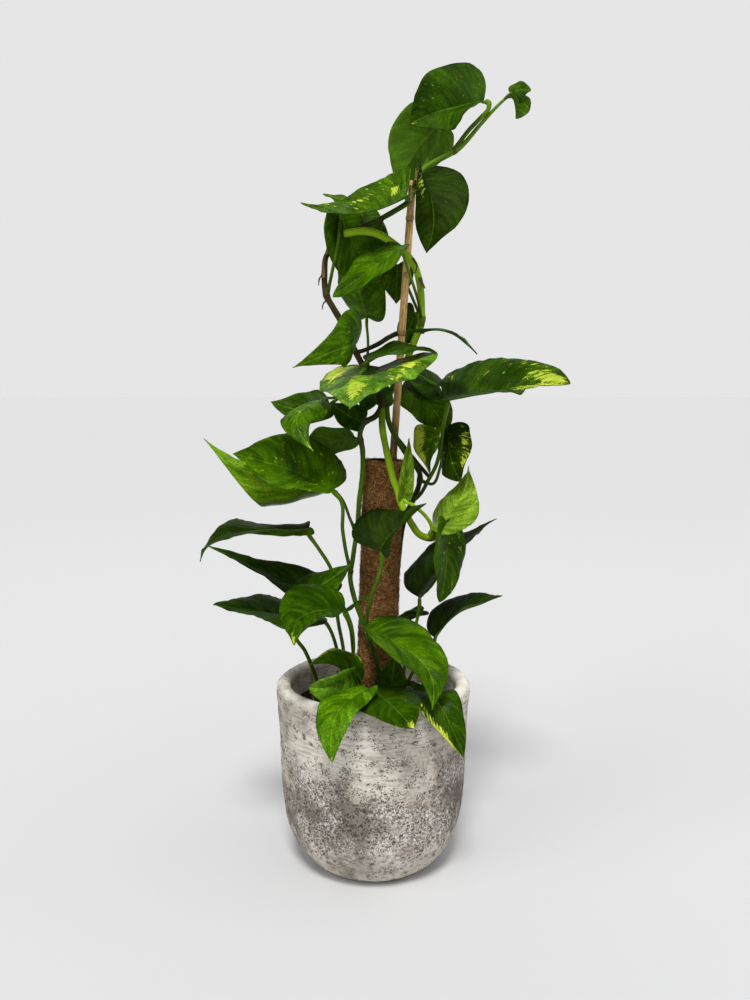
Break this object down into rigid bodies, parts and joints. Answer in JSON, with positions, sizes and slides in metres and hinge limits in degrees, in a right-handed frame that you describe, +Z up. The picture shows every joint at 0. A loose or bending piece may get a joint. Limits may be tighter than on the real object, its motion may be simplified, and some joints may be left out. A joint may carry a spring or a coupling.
{
  "type": "potted climbing plant",
  "caption": "Golden pothos in a rough concrete pot, climbing a coir pole and a bamboo cane, with variegated heart-shaped leaves.",
  "frame": {"origin": "centre of the pot's flat foot, on the surface that it stands on", "axes": "+Z up; -Y toward the plant's front, where most leaves hang over the lip; +X to the right seen from the front"},
  "size_m": [0.3056, 0.2083, 0.6884],
  "materials": {
    "concrete": "rough cast concrete with pits, trowel streaks and a pale lip",
    "potting_mix": "crumbly dark potting mix with pale bits of perlite",
    "coir": "matted brown coconut fibre bound with thread",
    "core_plastic": "plain dark tube",
    "bamboo": "thin dry bamboo with raised knots",
    "leaf_green": "waxy green leaf with yellow streaks, on green and brown stems"
  },
  "bodies": {
    "root": {"pot": "concrete", "soil": "potting_mix", "coir_wrap": "coir", "pole_core": "core_plastic", "cane": "bamboo", "climbing_vine": "leaf_green", "left_shoot": "leaf_green", "left_outer_shoot": "leaf_green", "right_shoot": "leaf_green", "front_left_shoot": "leaf_green", "front_right_shoot": "leaf_green"}
  },
  "joints": []
}
